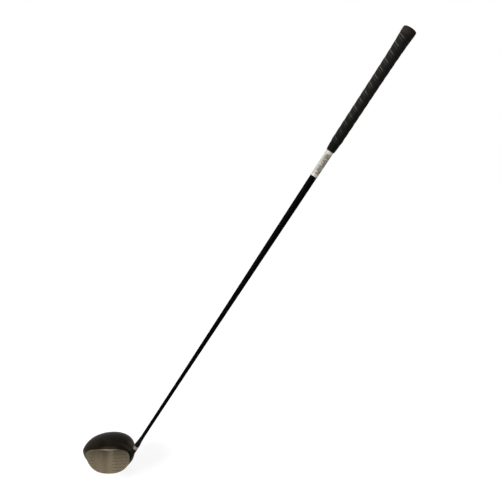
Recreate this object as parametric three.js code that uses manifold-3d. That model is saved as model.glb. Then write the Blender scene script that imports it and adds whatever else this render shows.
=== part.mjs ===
// A right-handed golf driver at address: a hollow metal head soled on the ground, an adjustable hosel
// held by a captive screw, a tapered carbon shaft and a rubber grip with a wrapped pattern.
// Millimetres, +Z up. The face looks along -Y, the toe points to -X and the shaft leans towards +X.
// The origin is the place on the shaft's axis where the hands hold the grip.
import * as THREE from 'three';
import { mergeVertices } from 'three/addons/utils/BufferGeometryUtils.js';
import Module from 'manifold-3d';

const wasm = await Module();
wasm.setup();

// Club: distances along the shaft's axis are counted from the point where it meets the ground.
const clubLength = 1143;
const lieAngle = 58;
const holdFromButt = 115;
const seatGap = 0.3;
const slideGap = 0.12;
const cutOverrun = 2;

// Head: its outer form is a row of sections from the face to the tail. Each section has a centre line, a
// waist where it is widest, and four quarters that are rounded by their own exponents.
const headCentreFront = -25;
const headCentreWide = -32;
const toeReachFront = 49;
const toeReachWide = 61.3;
const heelReachFront = 48;
const heelReachWide = 59.5;
const toeWaistFront = 46;
const toeWaistWide = 37;
const heelWaistFront = 40;
const heelWaistWide = 31;
const tailWaist = 31;
const crownApex = 64;
const faceTop = 59.6;
const faceTopY = -9;
const sectionFrontY = -20;
const crownApexY = 16;
const wideY = 20;
const soleTurnY = 14;
const tailY = 89;
const soleCamber = 0.6;
const leadingEdge = 2.4;
const leadingEdgeY = -20;
const longestFrontShare = 1.5;
const shellWall = 1.2;
const seamHeight = 39;
const seamTilt = 3;

// Exponents of the four quarters of a section, at the face and at the widest place.
const frontPowers = { toeUpper: 3, toeLower: 2.4, heelUpper: 3.4, heelLower: 2.3 };
const widePowers = { toeUpper: 2.05, toeLower: 2.1, heelUpper: 2, heelLower: 3 };
const planPower = 2.2;

// Face plate: its bulge and roll are arcs of large radius, tilted back by the loft.
const faceCentreX = -25;
const faceCentreY = -16;
const faceCentreZ = 31;
const faceLoft = 10.5;
const faceRadius = 305;
const faceThickness = 2.8;
const grooveWidth = 0.8;
const grooveDepth = 0.4;
const groovePitch = 7.4;
const grooveCount = 6;
const grooveLowest = 11;
const grooveInnerToe = 31;
const grooveInnerHeel = 8;
const grooveEdgeMargin = 3.5;
const grooveShortest = 5;

// Hosel, with the bore that takes the shaft's sleeve and the port of its screw.
const hoselTop = 67;
const hoselRadius = 6.2;
const hoselFlareRadius = 8;
const hoselFlareStart = 34;
const hoselFlareEnd = 57;
const hoselFlarePower = 2.2;
const hoselTubeRadius = 7.4;
const hoselJoinHeight = 17;
const joinInset = 0.05;
const portRadius = 5.4;
const portBossRadius = 8.2;
const portBossTop = 28;
const shelfBottom = 21.8;
const shelfThickness = 2.4;
const shelfHoleRadius = 2.8;
const screwHeadBottom = 15.6;
const screwHeadRadius = 4.5;
const screwHeadHeight = 4.6;
const screwShankRadius = 2.45;
const screwTip = 36;
const socketAcross = 4;
const socketDepth = 2.6;
const washerRadius = 4.9;
const retainerRadius = 4.4;
const retainerThickness = 1;

// Sleeve on the shaft's tip, its silver collar and the ferrule above it.
const sleeveBottom = 26.5;
const sleeveRadius = 5.2;
const sleeveThreadDepth = 12;
const sleeveThreadRadius = 2.6;
const sleeveFloor = 41;
const collarHeight = 8.6;
const collarChamfer = 0.5;
const lugCount = 4;
const lugWidth = 2.4;
const lugHeight = 3.6;
const lugReach = 0.5;
const ferruleLength = 24;
const ferruleTopRadius = 4.6;
const ferruleShoulder = 4;
const ferruleTaperShares = [
  { along: 0.2, taper: 0.36 },
  { along: 0.4, taper: 0.64 },
  { along: 0.7, taper: 0.91 },
];

// Shaft: the shares say how far along the bare shaft each station lies, and how much of the widening
// between the tip and the grip's mouth it has.
const tipRadius = 4.15;
const mouthRadius = 7.5;
const buttRadius = 7.6;
const shaftTaperShares = [
  { along: 0.054, taper: 0.015 },
  { along: 0.23, taper: 0.09 },
  { along: 0.451, taper: 0.328 },
  { along: 0.657, taper: 0.642 },
  { along: 0.85, taper: 0.896 },
];
const shaftWall = 1.1;
const plugLength = 14;
const labelLength = 58;
const labelThickness = 0.2;
const labelFromGrip = 0.6;

// Grip: a rubber core, a sleeve shaped like two strips wound round it edge to edge, a collar at its mouth
// and a cap. The shares run along the grip from the butt, and give the part of the widening left there.
// The pitch is the distance between two seams along the grip.
const gripLength = 267;
const gripButtRadius = 13.7;
const gripLowRadius = 10.15;
const gripTaperShares = [
  { along: 0.049, taper: 1 },
  { along: 0.142, taper: 0.69 },
  { along: 0.232, taper: 0.521 },
  { along: 0.404, taper: 0.38 },
  { along: 0.91, taper: 0.211 },
  { along: 0.936, taper: 0 },
];
const coreMouthRadius = 8.6;
const coreButtRadius = 10.9;
const collarLength = 17;
const collarMouthRadius = 7.8;
const collarShoulderRadius = 9.75;
const collarShoulderFromMouth = 9;
const collarLip = 1.2;
const coreChamfer = 0.3;
const wrapStarts = 2;
const wrapPitch = 16.9;
const wrapDepth = 0.5;
const wrapFade = 4;
const seamShift = 16.4;
const capLength = 14;
const capRadius = 14;
const capRound = 2.6;
const capDraft = 0.4;
const capFloor = 6;
const tapeThickness = 0.3;
const tapeFromMouth = 4;
const tapeFromCap = 17;
const ventRadius = 0.9;

// Weight in the tail of the sole, the blank badge and the ribs inside.
const weightX = -30;
const weightY = 58;
const weightTilt = 24;
const weightRadius = 7;
const weightHeight = 5;
const weightRecess = 0.8;
const weightStubRadius = 3.2;
const weightStubLength = 5;
const weightSealHeight = 0.8;
const weightBossWall = 2.2;
const weightBossHeight = 14;
const badgeX = -34;
const badgeY = 30;
const badgeLength = 44;
const badgeWidth = 17;
const badgeInset = 0.3;
const badgeThickness = 0.7;
const ribThickness = 1.2;
const ribHeight = 5;
const ribYs = [14, 46];

// Counts of flat faces on round pieces, and the distance below which corners are one.
const roundSides = 24;
const gripSides = 18;
const ringPoints = 44;
const innerRingPoints = 32;
const wrapRings = 5;
const frontRings = 6;
const rearRings = 9;
const faceGridX = 14;
const faceGridZ = 9;
const flareSteps = 7;
const badgeArcSteps = 8;
const weldDistance = 1e-4;

const radians = THREE.MathUtils.degToRad;
const lean = radians(90 - lieAngle);
const gripMouth = clubLength - gripLength;
const collarBottom = hoselTop + seatGap;
const collarTop = collarBottom + collarHeight;
const shaftTipAt = sleeveFloor + seatGap;
const capFloorAt = clubLength - capFloor;
const shaftButtAt = capFloorAt - seatGap;
const shelfTop = shelfBottom + shelfThickness;
const plateBack = faceThickness + seatGap;
const wrapLow = gripMouth + collarLength + seatGap;
const wrapHigh = clubLength - capLength - seatGap;
const coreHigh = capFloorAt - seatGap;
const ferruleBottom = collarTop + seatGap;
const ferruleTop = ferruleBottom + ferruleLength;
// Blocks that only cut reach this far past what they cut.
const blockReach = 4 * tailY;

const finishes = {
  crown: { color: 0x14120f, roughness: 0.3, metalness: 0.2 },
  body: { color: 0x1a1917, roughness: 0.35, metalness: 0.4 },
  face: { color: 0x76706a, roughness: 0.45, metalness: 0.9 },
  badge: { color: 0x8a8a8c, roughness: 0.4, metalness: 0.8 },
  silver: { color: 0xb9b6b2, roughness: 0.3, metalness: 0.9 },
  steel: { color: 0x6d6e70, roughness: 0.4, metalness: 0.9 },
  tungsten: { color: 0x4a4a4c, roughness: 0.45, metalness: 0.8 },
  ferrule: { color: 0x0b0a0b, roughness: 0.3, metalness: 0 },
  shaft: { color: 0x0a0809, roughness: 0.3, metalness: 0.1 },
  label: { color: 0xb5b0a6, roughness: 0.5, metalness: 0.3 },
  rubber: { color: 0x191815, roughness: 0.8, metalness: 0 },
  tape: { color: 0xd8d0b8, roughness: 0.9, metalness: 0 },
  foam: { color: 0x8c7a5e, roughness: 0.95, metalness: 0 },
};

// A geometry as a manifold solid, and back.
function solid(geometry) {
  const bare = new THREE.BufferGeometry();
  bare.setAttribute('position', geometry.getAttribute('position').clone());
  if (geometry.index) bare.setIndex(geometry.index.clone());
  const merged = mergeVertices(bare, weldDistance);
  return new wasm.Manifold(new wasm.Mesh({
    numProp: 3,
    vertProperties: merged.attributes.position.array,
    triVerts: new Uint32Array(merged.index.array),
  }));
}

function geometryOf(manifold) {
  const made = manifold.getMesh();
  const geometry = new THREE.BufferGeometry();
  geometry.setAttribute('position', new THREE.BufferAttribute(new Float32Array(made.vertProperties), 3));
  geometry.setIndex(new THREE.BufferAttribute(new Uint32Array(made.triVerts), 1));
  geometry.computeVertexNormals();
  return geometry;
}

// A turned piece about +Z. The profile is a list of [radius, height] that closes on itself.
function turned(profile) {
  const points = profile.map(([radius, height]) => new THREE.Vector2(radius, height));
  return new THREE.LatheGeometry(points, roundSides).rotateX(Math.PI / 2);
}

// A tube or disc between two heights, with one outer and one inner radius.
function ring(outer, inner, low, high) {
  return turned([[inner, low], [outer, low], [outer, high], [inner, high], [inner, low]]);
}

const blend = (from, to, share) => from + (to - from) * share;

// The radius at one place, straight between stations.
function radiusAt(stations, at) {
  const next = stations.findIndex((station) => station.at >= at);
  if (next === 0) return stations[0].radius;
  if (next < 0) return stations[stations.length - 1].radius;
  const [a, b] = [stations[next - 1], stations[next]];
  return a.radius + (b.radius - a.radius) * (at - a.at) / (b.at - a.at);
}

const shaftProfile = [
  { at: shaftTipAt, radius: tipRadius },
  { at: ferruleTop, radius: tipRadius },
  ...shaftTaperShares.map(({ along, taper }) => ({
    at: blend(ferruleTop, gripMouth, along),
    radius: blend(tipRadius, mouthRadius, taper),
  })),
  { at: gripMouth, radius: mouthRadius },
  { at: shaftButtAt, radius: buttRadius },
];
const shaftRadius = (at) => radiusAt(shaftProfile, at);

const gripProfile = gripTaperShares.map(({ along, taper }) => ({
  at: gripLength * along,
  radius: blend(gripLowRadius, gripButtRadius, taper),
}));
const gripRadius = (at) => radiusAt(gripProfile, clubLength - at);

// The head's section at one place along Y, drawn in by an inset. The shares tell how far that place lies
// from the face to the widest section, and from there to the tail.
function sectionAt(y, inset) {
  const tail = tailY - inset;
  const wideShare = THREE.MathUtils.smoothstep(y, sectionFrontY, wideY);
  const tailShare = Math.max(0, (y - wideY) / (tail - wideY));
  const planShare = Math.pow(Math.max(0, 1 - Math.pow(tailShare, planPower)), 1 / planPower);
  const crownRunShare = Math.max(0, (y - crownApexY) / (tail - crownApexY));
  const crownShare = Math.sqrt(Math.max(0, 1 - crownRunShare ** 2));
  const soleRunShare = Math.max(0, (y - soleTurnY) / (tail - soleTurnY));
  const soleShare = Math.sqrt(Math.max(0, 1 - soleRunShare ** 2));
  const crownFrontShare = Math.max(0, crownApexY - y) / (crownApexY - faceTopY);
  const crown = blend(crownApex, faceTop, Math.min(crownFrontShare, longestFrontShare) ** 2) - inset;
  const soleFrontShare = Math.max(0, soleTurnY - y) / (soleTurnY - leadingEdgeY);
  const sole = blend(-soleCamber, leadingEdge, Math.min(soleFrontShare, longestFrontShare) ** 2) + inset;
  const power = (name) => blend(frontPowers[name], widePowers[name], wideShare);
  const waist = (front, wide) => blend(blend(front, wide, wideShare), tailWaist, 1 - planShare);
  return {
    centre: blend(headCentreFront, headCentreWide, wideShare),
    top: tailWaist + (crown - tailWaist) * crownShare,
    bottom: tailWaist + (sole - tailWaist) * soleShare,
    toe: {
      reach: (blend(toeReachFront, toeReachWide, wideShare) - inset) * planShare,
      waist: waist(toeWaistFront, toeWaistWide),
      upper: power('toeUpper'),
      lower: power('toeLower'),
    },
    heel: {
      reach: (blend(heelReachFront, heelReachWide, wideShare) - inset) * planShare,
      waist: waist(heelWaistFront, heelWaistWide),
      upper: power('heelUpper'),
      lower: power('heelLower'),
    },
  };
}

// The point of a section at one turn about its waist, as [x, z].
function sectionPoint(section, turn) {
  const across = Math.cos(turn);
  const up = Math.sin(turn);
  const side = across >= 0 ? section.heel : section.toe;
  const power = up >= 0 ? side.upper : side.lower;
  const waist = Math.min(side.waist, section.top);
  const rise = up >= 0 ? section.top - waist : waist - section.bottom;
  return [
    section.centre + Math.sign(across) * side.reach * Math.pow(Math.abs(across), 2 / power),
    waist + Math.sign(up) * rise * Math.pow(Math.abs(up), 2 / power),
  ];
}

// A closed skin over rings of equal count, with a flat or pointed cap at each end.
function skinned(rings, firstTip, lastTip) {
  const count = rings[0].length;
  const positions = rings.flat(2);
  const first = rings.length * count;
  positions.push(...firstTip, ...lastTip);
  const faces = [];
  for (let row = 0; row + 1 < rings.length; row += 1) {
    for (let column = 0; column < count; column += 1) {
      const beside = (column + 1) % count;
      const [a, b] = [row * count + column, row * count + beside];
      const [c, d] = [a + count, b + count];
      faces.push(a, b, d, a, d, c);
    }
  }
  for (let column = 0; column < count; column += 1) {
    const beside = (column + 1) % count;
    faces.push(first, beside, column);
    faces.push(first + 1, (rings.length - 1) * count + column, (rings.length - 1) * count + beside);
  }
  const geometry = new THREE.BufferGeometry();
  geometry.setAttribute('position', new THREE.Float32BufferAttribute(positions, 3));
  geometry.setIndex(faces);
  return geometry;
}

// The head's outer form, or the same form drawn in by a wall.
function headForm(inset, points) {
  const tail = tailY - inset;
  const ys = [sectionFrontY - tailWaist];
  for (let step = 0; step < frontRings; step += 1) {
    ys.push(blend(sectionFrontY, wideY, step / frontRings));
  }
  for (let step = 0; step < rearRings; step += 1) {
    ys.push(wideY + (tail - wideY) * Math.sin(Math.PI / 2 * step / rearRings));
  }
  const rings = ys.map((y) => {
    const section = sectionAt(y, inset);
    return Array.from({ length: points }, (_, index) => {
      const [x, z] = sectionPoint(section, -2 * Math.PI * index / points);
      return [x, y, z];
    });
  });
  const frontCentre = [headCentreFront, ys[0], faceCentreZ];
  return solid(skinned(rings, frontCentre, [headCentreWide, tail, tailWaist]));
}

// How far back the face lies at one place across and up it.
function faceAt(x, z) {
  const [dx, dz] = [x - faceCentreX, z - faceCentreZ];
  return faceCentreY + dz * Math.tan(radians(faceLoft)) + (dx * dx + dz * dz) / (2 * faceRadius);
}

// Everything in front of the face, moved back by a depth.
function aheadOfFace(depth) {
  const lowX = headCentreWide - toeReachWide - tailWaist;
  const highX = headCentreWide + heelReachWide + tailWaist;
  const [lowZ, highZ] = [-tailWaist, crownApex + tailWaist];
  const front = faceCentreY - tailY;
  const columns = [];
  for (let i = 0; i <= faceGridX; i += 1) {
    const x = blend(lowX, highX, i / faceGridX);
    const back = [];
    for (let k = 0; k <= faceGridZ; k += 1) {
      const z = blend(lowZ, highZ, k / faceGridZ);
      back.push([x, faceAt(x, z) + depth, z]);
    }
    columns.push([[x, front, highZ], [x, front, lowZ], ...back]);
  }
  const middle = (column) => [column[0][0], (front + faceCentreY) / 2, (lowZ + highZ) / 2];
  return solid(skinned(columns, middle(columns[0]), middle(columns[faceGridX])));
}

// A geometry that was made along the shaft's axis, turned into the head's frame.
const onShaftLine = (geometry) => solid(geometry.rotateY(lean));

function boxAt(sizeX, sizeY, sizeZ, x, y, z) {
  return new THREE.BoxGeometry(sizeX, sizeY, sizeZ).translate(x, y, z);
}

// A rounded bar seen from above, tall enough to cut through the sole.
function badgePrism(grow) {
  const half = badgeWidth / 2 + grow;
  const run = (badgeLength - badgeWidth) / 2;
  const outline = new THREE.Shape();
  outline.absarc(run, 0, half, -Math.PI / 2, Math.PI / 2, false);
  outline.absarc(-run, 0, half, Math.PI / 2, 1.5 * Math.PI, false);
  const options = { depth: tailWaist, bevelEnabled: false, curveSegments: badgeArcSteps };
  return solid(new THREE.ExtrudeGeometry(outline, options).translate(badgeX, badgeY, -cutOverrun));
}

// The lugs that stand under the collar, or the slots that they sit in.
function lugs(grow) {
  const height = lugHeight + grow;
  const reach = sleeveRadius + lugReach + grow;
  return Array.from({ length: lugCount }, (_, index) => {
    const block = boxAt(reach, lugWidth + 2 * grow, height, reach / 2, 0, collarBottom - height / 2);
    return block.rotateZ(2 * Math.PI * (index + 0.5) / lugCount);
  });
}

// A screw or weight along +Z with its head at the bottom and a hexagonal socket in it.
function socketPiece(profile, bottom) {
  const socketRadius = socketAcross / Math.sqrt(3);
  const deep = socketDepth + cutOverrun;
  const socket = new THREE.CylinderGeometry(socketRadius, socketRadius, deep, 6).rotateX(Math.PI / 2);
  socket.translate(0, 0, bottom + socketDepth - deep / 2);
  return geometryOf(solid(turned(profile)).subtract(solid(socket)));
}

// The hosel's outside: a boss at the sole, a tube through the head and a flare up to the collar.
function hoselProfile(grow) {
  const profile = [[0, -cutOverrun], [portBossRadius + grow, -cutOverrun]];
  profile.push([portBossRadius + grow, portBossTop], [hoselTubeRadius + grow, portBossTop + cutOverrun]);
  for (let step = 0; step <= flareSteps; step += 1) {
    const heightShare = step / flareSteps;
    const flareShare = Math.pow(1 - heightShare, hoselFlarePower);
    const radius = blend(hoselRadius, hoselFlareRadius, flareShare) + grow;
    profile.push([radius, blend(hoselFlareStart, hoselFlareEnd, heightShare)]);
  }
  profile.push([hoselRadius + grow, hoselTop], [0, hoselTop]);
  return profile;
}

// Where the rear weight sits: its axis leaves the sole downwards and back.
const weightSole = sectionAt(weightY, 0).bottom;
function onWeightLine(geometry) {
  return geometry.rotateX(radians(weightTilt)).translate(weightX, weightY, weightSole);
}

// Cuts the head's shells out of its form. Pieces that join overlap by a little, so no faces coincide.
function makeHead() {
  const outer = headForm(0, ringPoints);
  const cavity = headForm(shellWall, innerRingPoints);
  const plateRoom = headForm(-seatGap, ringPoints).intersect(aheadOfFace(plateBack));

  const halfSpace = () => boxAt(blockReach, blockReach, blockReach, 0, 0, -blockReach / 2);
  const underSeam = solid(halfSpace().rotateX(-radians(seamTilt)).translate(0, 0, seamHeight));
  const ground = solid(halfSpace());

  let crown = outer.subtract(cavity).subtract(underSeam.translate([0, 0, seatGap]));
  crown = crown.subtract(onShaftLine(turned(hoselProfile(seatGap)))).subtract(plateRoom);
  // In front of the hosel the crown ends at the shaft's axis, before its edge runs out to nothing.
  const heelCorner = boxAt(blockReach, blockReach, blockReach, blockReach / 2, -blockReach / 2, 0);
  crown = crown.subtract(onShaftLine(heelCorner));

  const boss = ring(weightRadius + slideGap + weightBossWall, 0, -weightRadius, weightBossHeight);
  let hollow = cavity.subtract(onShaftLine(turned(hoselProfile(0)))).subtract(solid(onWeightLine(boss)));
  const insideRibs = headForm(shellWall + ribHeight, innerRingPoints);
  for (const y of ribYs) {
    const slab = solid(boxAt(blockReach, ribThickness, blockReach, 0, y, 0));
    hollow = hollow.subtract(slab.subtract(insideRibs));
  }

  const upperHosel = onShaftLine(turned(hoselProfile(-joinInset)));
  const lowHosel = solid(halfSpace().translate(0, 0, hoselJoinHeight));
  let body = outer.subtract(hollow).intersect(underSeam).add(upperHosel.subtract(lowHosel));
  body = body.subtract(plateRoom).subtract(ground);
  for (const cut of [makeBore(), makePort(), makeShelfHole(), ...lugs(slideGap)]) {
    body = body.subtract(onShaftLine(cut));
  }
  body = body.subtract(solid(onWeightLine(makeWeightPort())));
  const badgeDepth = badgeInset + badgeThickness;
  body = body.subtract(badgePrism(slideGap).subtract(headForm(badgeDepth + slideGap, ringPoints)));

  const badgeSkin = headForm(badgeInset, ringPoints).subtract(headForm(badgeDepth, ringPoints));
  const badge = badgePrism(0).intersect(badgeSkin).subtract(ground);

  let plate = outer.intersect(aheadOfFace(faceThickness)).subtract(aheadOfFace(0)).subtract(ground);
  for (const groove of faceGrooves()) plate = plate.subtract(groove);
  return { crown, body, badge, plate };
}

// The sleeve's bore from the hosel's top down to the shelf, the screw's port and the hole between them.
function makeBore() {
  const radius = sleeveRadius + slideGap;
  const top = hoselTop + cutOverrun;
  return turned([[0, shelfTop], [radius, shelfTop], [radius, top], [0, top]]);
}

function makePort() {
  return turned([[0, -cutOverrun], [portRadius, -cutOverrun], [portRadius, shelfBottom], [0, shelfBottom]]);
}

function makeShelfHole() {
  const top = shelfTop + cutOverrun;
  return turned([[0, 0], [shelfHoleRadius, 0], [shelfHoleRadius, top], [0, top]]);
}

function makeWeightPort() {
  const wide = weightRadius + slideGap;
  const narrow = weightStubRadius + slideGap;
  const depth = weightRecess + weightHeight + weightSealHeight + seatGap + slideGap;
  const end = depth + weightStubLength;
  const mouth = -wide - cutOverrun;
  return turned([[0, mouth], [wide, mouth], [wide, depth], [narrow, depth], [narrow, end], [0, end]]);
}

// Short straight score lines on the toe and heel sides, with the middle of the face left plain.
function faceGrooves() {
  const grooves = [];
  const front = aheadOfFace(grooveDepth);
  for (let row = 0; row < grooveCount; row += 1) {
    const z = grooveLowest + row * groovePitch;
    const y = faceAt(faceCentreX, z);
    const section = sectionAt(y, grooveEdgeMargin);
    for (const side of [-1, 1]) {
      const half = side < 0 ? section.toe : section.heel;
      const inner = side < 0 ? grooveInnerToe : grooveInnerHeel;
      const isLow = z < half.waist;
      const quarterHeight = isLow ? half.waist - section.bottom : section.top - half.waist;
      const riseShare = Math.abs(z - half.waist) / quarterHeight;
      const power = isLow ? half.lower : half.upper;
      const outer = half.reach * Math.pow(1 - Math.pow(riseShare, power), 1 / power);
      const length = outer - inner;
      if (length < grooveShortest) continue;
      const centre = faceCentreX + side * (inner + length / 2);
      grooves.push(solid(boxAt(length, tailY, grooveWidth, centre, y, z)).intersect(front));
    }
  }
  return grooves;
}

// The tube of carbon from the sleeve's floor to the grip's cap.
function makeShaft() {
  const outside = shaftProfile.map(({ at, radius }) => [radius, at]);
  const inside = shaftProfile.map(({ at, radius }) => [radius - shaftWall, at]).reverse();
  return turned([...outside, ...inside, outside[0]]);
}

function makeSleeve() {
  const bored = shaftRadius(shaftTipAt) + slideGap;
  const profile = [
    [sleeveThreadRadius, sleeveBottom], [sleeveRadius, sleeveBottom],
    [sleeveRadius, collarBottom], [hoselRadius - collarChamfer, collarBottom],
    [hoselRadius, collarBottom + collarChamfer], [hoselRadius, collarTop - collarChamfer],
    [hoselRadius - collarChamfer, collarTop], [bored, collarTop], [bored, sleeveFloor],
    [0, sleeveFloor], [0, sleeveBottom + sleeveThreadDepth],
    [sleeveThreadRadius, sleeveBottom + sleeveThreadDepth], [sleeveThreadRadius, sleeveBottom],
  ];
  let sleeve = solid(turned(profile));
  const core = solid(turned([
    [0, sleeveBottom], [sleeveRadius - slideGap, sleeveBottom],
    [sleeveRadius - slideGap, collarTop], [0, collarTop],
  ]));
  for (const lug of lugs(0)) sleeve = sleeve.add(solid(lug).subtract(core));
  return geometryOf(sleeve);
}

function makeFerrule() {
  const shoulder = ferruleBottom + ferruleShoulder;
  const bored = tipRadius + slideGap;
  const tapered = ferruleTaperShares.map(({ along, taper }) => [
    blend(hoselRadius, ferruleTopRadius, taper), blend(shoulder, ferruleTop, along),
  ]);
  return turned([
    [bored, ferruleBottom], [hoselRadius, ferruleBottom], [hoselRadius, shoulder], ...tapered,
    [ferruleTopRadius, ferruleTop], [bored, ferruleTop], [bored, ferruleBottom],
  ]);
}

// The core's outside widens evenly from the mouth to the butt.
const coreRadius = (at) => blend(coreMouthRadius, coreButtRadius, (at - gripMouth) / gripLength);

function makeGripCore() {
  const bored = (at) => shaftRadius(at) + tapeThickness + 2 * slideGap;
  return turned([
    [bored(gripMouth), gripMouth], [coreRadius(gripMouth) - coreChamfer, gripMouth],
    [coreRadius(gripMouth + collarLip), gripMouth + collarLip], [coreRadius(coreHigh), coreHigh],
    [bored(coreHigh), coreHigh], [bored(gripMouth), gripMouth],
  ]);
}

// The wound strips: the outside steps in at the seam between one turn and the next.
function makeGripWrap() {
  const rings = [];
  const rows = Math.round((wrapHigh - wrapLow) / wrapPitch * wrapRings);
  for (let row = 0; row <= rows; row += 1) {
    const at = blend(wrapLow, wrapHigh, row / rows);
    const fade = Math.min(1, (at - wrapLow) / wrapFade, (wrapHigh - at) / wrapFade);
    rings.push(Array.from({ length: gripSides }, (_, index) => {
      const turn = 2 * Math.PI * index / gripSides;
      const phase = (at - wrapLow - seamShift) / wrapPitch + wrapStarts * index / gripSides;
      const radius = gripRadius(at) - wrapDepth * (1 - Math.abs(Math.sin(Math.PI * phase))) * fade;
      return [radius * Math.cos(turn), radius * Math.sin(turn), at];
    }));
  }
  const outside = solid(skinned(rings, [0, 0, wrapLow], [0, 0, wrapHigh]));
  const [low, high] = [wrapLow - cutOverrun, wrapHigh + cutOverrun];
  const bored = (at) => coreRadius(at) + slideGap;
  const bore = turned([[0, low], [bored(low), low], [bored(high), high], [0, high]]);
  return geometryOf(outside.subtract(solid(bore)));
}

function makeGripCollar() {
  const low = gripMouth + collarLip + seatGap;
  const high = wrapLow - seatGap;
  const bored = (at) => coreRadius(at) + slideGap;
  return turned([
    [bored(low), low], [collarMouthRadius + collarLip, low],
    [collarShoulderRadius, gripMouth + collarShoulderFromMouth], [gripRadius(high), high],
    [bored(high), high], [bored(low), low],
  ]);
}

// The harder cap over the end of the core, with a vent hole.
function makeCap() {
  const bottom = clubLength - capLength;
  const bored = coreButtRadius + slideGap;
  const halfRound = capRound * (1 - Math.SQRT1_2);
  return turned([
    [bored, bottom], [capRadius - capDraft, bottom], [capRadius, bottom + capRound],
    [capRadius, clubLength - capRound], [capRadius - halfRound, clubLength - halfRound],
    [capRadius - capRound, clubLength], [ventRadius, clubLength], [ventRadius, capFloorAt],
    [bored, capFloorAt], [bored, bottom],
  ]);
}

// The double-sided tape that the grip is slid onto.
function makeTape() {
  const low = gripMouth + tapeFromMouth;
  const high = capFloorAt - tapeFromCap;
  const inner = (at) => shaftRadius(at) + slideGap / 2;
  return turned([
    [inner(low), low], [inner(low) + tapeThickness, low], [inner(high) + tapeThickness, high],
    [inner(high), high], [inner(low), low],
  ]);
}

// The printed band under the grip, wrapped once round the shaft.
function makeLabel() {
  const high = gripMouth - labelFromGrip;
  const low = high - labelLength;
  const clear = (at) => shaftRadius(at) + slideGap / 2;
  return turned([
    [clear(low), low], [clear(low) + labelThickness, low], [clear(high) + labelThickness, high],
    [clear(high), high], [clear(low), low],
  ]);
}

function makePlug() {
  const low = shaftTipAt + seatGap;
  const radius = tipRadius - shaftWall - slideGap;
  return turned([[0, low], [radius, low], [radius, low + plugLength], [0, low + plugLength]]);
}

function makeScrew() {
  const headTop = screwHeadBottom + screwHeadHeight;
  return socketPiece([
    [0, screwHeadBottom], [screwHeadRadius, screwHeadBottom], [screwHeadRadius, headTop],
    [screwShankRadius, headTop], [screwShankRadius, screwTip], [0, screwTip],
  ], screwHeadBottom);
}

function makeWasher() {
  const low = screwHeadBottom + screwHeadHeight + seatGap;
  return ring(washerRadius, screwShankRadius + slideGap, low, shelfBottom - seatGap);
}

function makeRetainer() {
  const low = shelfTop + seatGap;
  return ring(retainerRadius, screwShankRadius + slideGap / 2, low, low + retainerThickness);
}

function makeWeight() {
  const top = weightRecess + weightHeight;
  return onWeightLine(socketPiece([
    [0, weightRecess], [weightRadius - slideGap, weightRecess], [weightRadius - slideGap, top],
    [weightStubRadius, top], [weightStubRadius, top + weightStubLength], [0, top + weightStubLength],
  ], weightRecess));
}

function makeWeightSeal() {
  const low = weightRecess + weightHeight + slideGap;
  const high = low + weightSealHeight;
  return onWeightLine(ring(weightRadius - slideGap, weightStubRadius + slideGap, low, high));
}

const driver = new THREE.Group();
const onGround = new THREE.Group();
const holdAt = clubLength - holdFromButt;
onGround.position.set(-holdAt * Math.sin(lean), 0, -holdAt * Math.cos(lean));
driver.add(onGround);
const shaftLine = new THREE.Group();
shaftLine.rotation.y = lean;
onGround.add(shaftLine);

function add(parent, name, geometry, finish) {
  const mesh = new THREE.Mesh(geometry, new THREE.MeshStandardMaterial(finishes[finish]));
  mesh.name = name;
  parent.add(mesh);
}

const head = makeHead();
add(onGround, 'crown_shell', geometryOf(head.crown), 'crown');
add(onGround, 'body_shell', geometryOf(head.body), 'body');
add(onGround, 'face_plate', geometryOf(head.plate), 'face');
add(onGround, 'sole_badge', geometryOf(head.badge), 'badge');
add(onGround, 'rear_weight', makeWeight(), 'tungsten');
add(onGround, 'weight_seal', makeWeightSeal(), 'rubber');
add(shaftLine, 'hosel_screw', makeScrew(), 'steel');
add(shaftLine, 'screw_washer', makeWasher(), 'steel');
add(shaftLine, 'screw_retainer', makeRetainer(), 'steel');
add(shaftLine, 'shaft_sleeve', makeSleeve(), 'silver');
add(shaftLine, 'ferrule', makeFerrule(), 'ferrule');
add(shaftLine, 'shaft', makeShaft(), 'shaft');
add(shaftLine, 'tip_plug', makePlug(), 'foam');
add(shaftLine, 'shaft_label', makeLabel(), 'label');
add(shaftLine, 'grip_tape', makeTape(), 'tape');
add(shaftLine, 'grip_core', makeGripCore(), 'rubber');
add(shaftLine, 'grip_wrap', makeGripWrap(), 'rubber');
add(shaftLine, 'grip_collar', makeGripCollar(), 'rubber');
add(shaftLine, 'grip_cap', makeCap(), 'rubber');

export default driver;
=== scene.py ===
import math

import bmesh
import bpy
from mathutils import Matrix, Vector


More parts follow.
